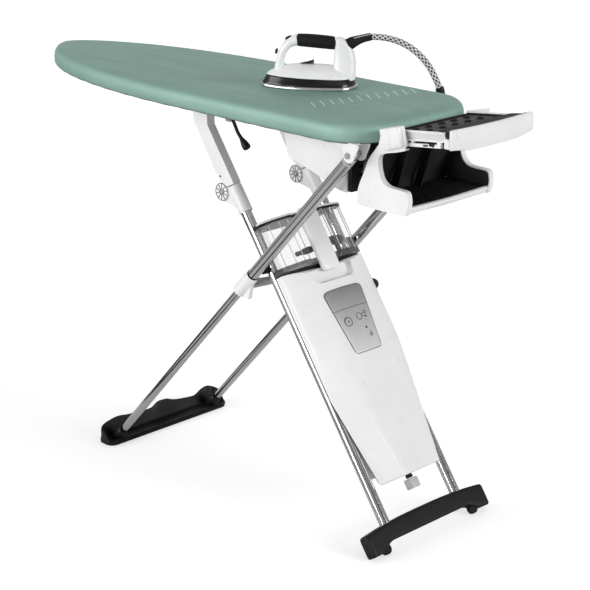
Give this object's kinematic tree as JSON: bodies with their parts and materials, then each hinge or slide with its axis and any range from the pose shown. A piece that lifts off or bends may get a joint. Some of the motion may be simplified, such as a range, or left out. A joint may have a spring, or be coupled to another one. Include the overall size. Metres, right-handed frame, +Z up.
{
  "type": "ironing board",
  "caption": "Folding ironing board with padded cover, crossed chrome legs, steam generator, removable water tank, iron rest, storage compartment and hose-fed iron.",
  "frame": {"origin": "on the floor, under the middle of the box of the standing board without its hose", "axes": "+X from the board's nose to its heel, +Y across to the far side, +Z up"},
  "size_m": [1.459, 0.443, 1.101],
  "materials": {
    "cover": "silky woven mint-green cover",
    "steel": "satin",
    "chrome": "polished",
    "white_plastic": "smooth satin white",
    "grey_plastic": "fine moulded grey",
    "panel": "silver-grey satin",
    "black_plastic": "fine moulded black",
    "rubber": "matt",
    "clear_plastic": "clear moulded"
  },
  "bodies": {
    "board": {"cover_and_pad": "cover", "deck_plate": "steel", "underside_pan": "steel", "arm_rail_near": "steel", "arm_rail_far": "steel", "rear_bridge": "white_plastic", "main_pivot_rod": "steel", "blower_housing": "white_plastic", "blower_grille": "black_plastic", "blower_motor": "steel", "compartment_shell": "white_plastic", "compartment_liner": "black_plastic", "compartment_bracket": "steel", "hose_guide": "black_plastic", "hose_port": "black_plastic", "lever_bracket": "steel", "steam_hose": "rubber"},
    "fan": {"blower_fan": "black_plastic"},
    "iron_rest": {"rest_pan": "black_plastic", "rest_mat": "rubber", "rest_front": "white_plastic", "rest_rail_near": "white_plastic", "rest_rail_far": "white_plastic"},
    "lever": {"height_lever": "black_plastic"},
    "frame_b": {"leg_b_lower_near": "chrome", "leg_b_lower_far": "chrome", "leg_b_collar_near": "white_plastic", "leg_b_collar_far": "white_plastic", "leg_b_upper_near": "chrome", "leg_b_upper_far": "chrome", "cross_plate": "grey_plastic", "foot_b": "black_plastic"},
    "frame_a": {"leg_a_near": "chrome", "leg_a_far": "chrome", "leg_a_sleeve_near": "white_plastic", "leg_a_sleeve_far": "white_plastic", "arm_near": "white_plastic", "arm_far": "white_plastic", "foot_a": "black_plastic", "generator_front_cover": "white_plastic", "generator_rear_housing": "grey_plastic", "boiler": "steel", "control_panel": "panel"},
    "wheel_n": {"wheel_near": "rubber"},
    "wheel_f": {"wheel_far": "rubber"},
    "start_key": {"start_button": "panel"},
    "power_dial": {"power_knob": "grey_plastic"},
    "drain": {"drain_cap": "grey_plastic"},
    "water_tank": {"tank_shell": "clear_plastic", "tank_lid": "black_plastic", "tank_valve": "black_plastic", "tank_handle": "white_plastic"},
    "iron": {"iron_soleplate": "chrome", "iron_band": "black_plastic", "iron_body": "white_plastic", "iron_handle": "white_plastic", "iron_grip": "black_plastic", "strain_relief": "rubber"},
    "steam_key": {"steam_button": "black_plastic"},
    "steam_pull": {"steam_trigger": "black_plastic"}
  },
  "joints": [
    {"name": "rear_leg_fold", "type": "hinge", "parent": "board", "child": "frame_b", "pos_m": [0.47852, 0, 0.90447], "axis": [0, 1, 0], "range_deg": [-2.5, 31]},
    {"name": "front_leg_fold", "type": "hinge", "parent": "frame_b", "child": "frame_a", "pos_m": [0.18037, 0, 0.58295], "axis": [0, 1, 0], "range_deg": [-69.6, 5.6]},
    {"name": "fan_spin", "type": "hinge", "parent": "board", "child": "fan", "pos_m": [0.358, 0, 0.87], "axis": [0, 0, 1], "continuous": true},
    {"name": "iron_rest_drop", "type": "slide", "parent": "board", "child": "iron_rest", "axis": [-0.5, 0, -0.866], "range_m": [0, 0.034]},
    {"name": "height_lever_squeeze", "type": "hinge", "parent": "board", "child": "lever", "pos_m": [0.088, -0.15, 0.921], "axis": [0, -1, 0], "range_deg": [0, 20], "stiffness_Nm_per_rad": 0.6},
    {"name": "wheel_near_spin", "type": "hinge", "parent": "frame_a", "child": "wheel_n", "pos_m": [0.57889, -0.15, 0.01491], "axis": [0.8195, 0, 0.5731], "continuous": true},
    {"name": "wheel_far_spin", "type": "hinge", "parent": "frame_a", "child": "wheel_f", "pos_m": [0.57889, 0.15, 0.01491], "axis": [0.8195, 0, 0.5731], "continuous": true},
    {"name": "start_button_press", "type": "slide", "parent": "frame_a", "child": "start_key", "axis": [-0.8195, 0, -0.5731], "range_m": [0, 0.0012], "stiffness_N_per_m": 400},
    {"name": "power_knob_turn", "type": "hinge", "parent": "frame_a", "child": "power_dial", "pos_m": [0.26978, 0.14, 0.50223], "axis": [0, 1, 0], "range_deg": [0, 90]},
    {"name": "drain_cap_turn", "type": "hinge", "parent": "frame_a", "child": "drain", "pos_m": [0.51474, 0.008, 0.10489], "axis": [0.5731, 0, -0.8195], "range_deg": [0, 360]},
    {"name": "water_tank_pull", "type": "slide", "parent": "frame_a", "child": "water_tank", "axis": [-0.5731, 0, 0.8195], "range_m": [0, 0.04]},
    {"name": "iron_lift", "type": "slide", "parent": "board", "child": "iron", "axis": [0, 0, 1], "range_m": [0, 0.1]},
    {"name": "steam_button_press", "type": "slide", "parent": "iron", "child": "steam_key", "axis": [0, 0, -1], "range_m": [0, 0.0012], "stiffness_N_per_m": 400},
    {"name": "steam_trigger_pull", "type": "slide", "parent": "iron", "child": "steam_pull", "axis": [0.766, 0.6428, 0], "range_m": [0, 0.0015], "stiffness_N_per_m": 300}
  ],
  "couplings": [
    {"joint": "front_leg_fold", "follows": "rear_leg_fold", "ratio": -2.167}
  ]
}
